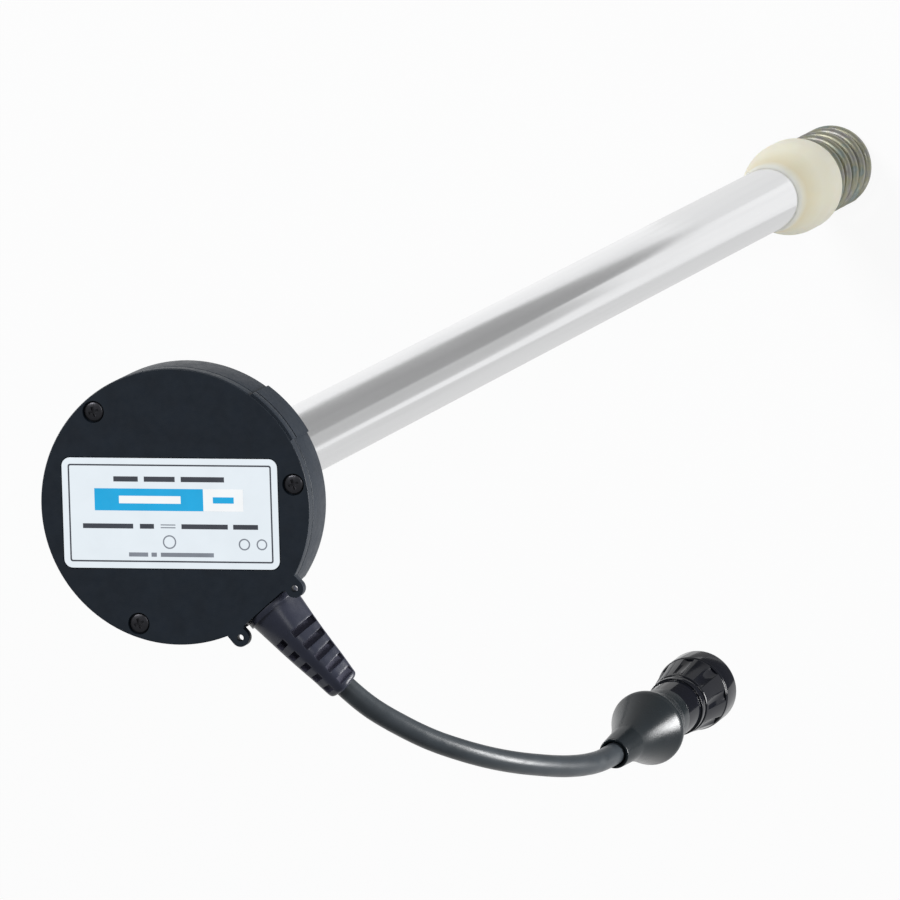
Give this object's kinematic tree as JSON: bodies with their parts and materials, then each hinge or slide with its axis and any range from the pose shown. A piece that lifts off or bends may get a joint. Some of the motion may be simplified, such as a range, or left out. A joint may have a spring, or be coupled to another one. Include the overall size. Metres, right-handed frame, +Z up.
{
  "type": "fuel level sender",
  "caption": "Capacitive fuel level sender: round flanged head with a label, long tube probe with a sprung nylon foot, and a short cable with a slotted strain relief and a round plug.",
  "frame": {"origin": "centre of the head's seat, where it rests on the tank's top", "axes": "+Z points up out of the cover, +X runs along the label to its right, the probe hangs along -Z"},
  "size_m": [0.1621, 0.1337, 0.8015],
  "materials": {
    "head": "moulded black plastic, fine sparkle texture",
    "label": "printed pale film",
    "dark_steel": "blackened steel",
    "steel": "bright steel",
    "aluminium": "satin drawn tube",
    "nylon": "natural nylon",
    "zinc": "yellow zinc plate",
    "boot_rubber": "moulded dark rubber",
    "cable_jacket": "smooth jacket",
    "plug": "gloss black",
    "seal": "black rubber",
    "board": "green board",
    "brass": "bright brass",
    "wire": "wire jacket"
  },
  "bodies": {
    "sender": {"cover": "head", "housing": "head", "label": "label", "cover_gasket": "seal", "cover_screw_1": "dark_steel", "cover_screw_2": "dark_steel", "cover_screw_3": "dark_steel", "circuit_board": "board", "measuring_chip": "plug", "capacitor": "aluminium", "wire_terminal": "board", "board_screw_1": "steel", "board_screw_2": "steel", "board_screw_3": "steel", "board_wire_1": "wire", "board_wire_2": "wire", "board_wire_3": "wire", "board_wire_4": "wire", "flange_seal": "seal", "tube_nut": "brass", "tube_oring": "seal", "outer_tube": "aluminium", "inner_electrode": "aluminium", "electrode_terminal": "brass", "top_insulator": "nylon", "spacer_1": "nylon", "spacer_2": "nylon", "spacer_3": "nylon", "bottom_insulator": "nylon", "stop_collar": "nylon", "bottom_spring": "zinc", "cable_boot": "boot_rubber", "cable": "cable_jacket", "connector_boot": "plug", "connector_shell": "plug", "contact_insert": "plug", "contact_1": "brass", "contact_2": "brass", "contact_3": "brass", "contact_4": "brass", "connector_wire_1": "wire", "connector_wire_2": "wire", "connector_wire_3": "wire", "connector_wire_4": "wire", "connector_seal": "seal"},
    "plug_ring": {"coupling_ring": "plug"},
    "spring_foot": {"spring_end": "zinc"}
  },
  "joints": [
    {"name": "ring_turn", "type": "hinge", "parent": "sender", "child": "plug_ring", "pos_m": [0.10985, -0.07839, -0.14102], "axis": [0.1175, 0.1183, -0.986], "range_deg": [0, 45]},
    {"name": "spring_press", "type": "slide", "parent": "sender", "child": "spring_foot", "axis": [0, 0, 1], "range_m": [0, 0.01], "stiffness_N_per_m": 12000, "deforming": ["bottom_spring"]}
  ]
}
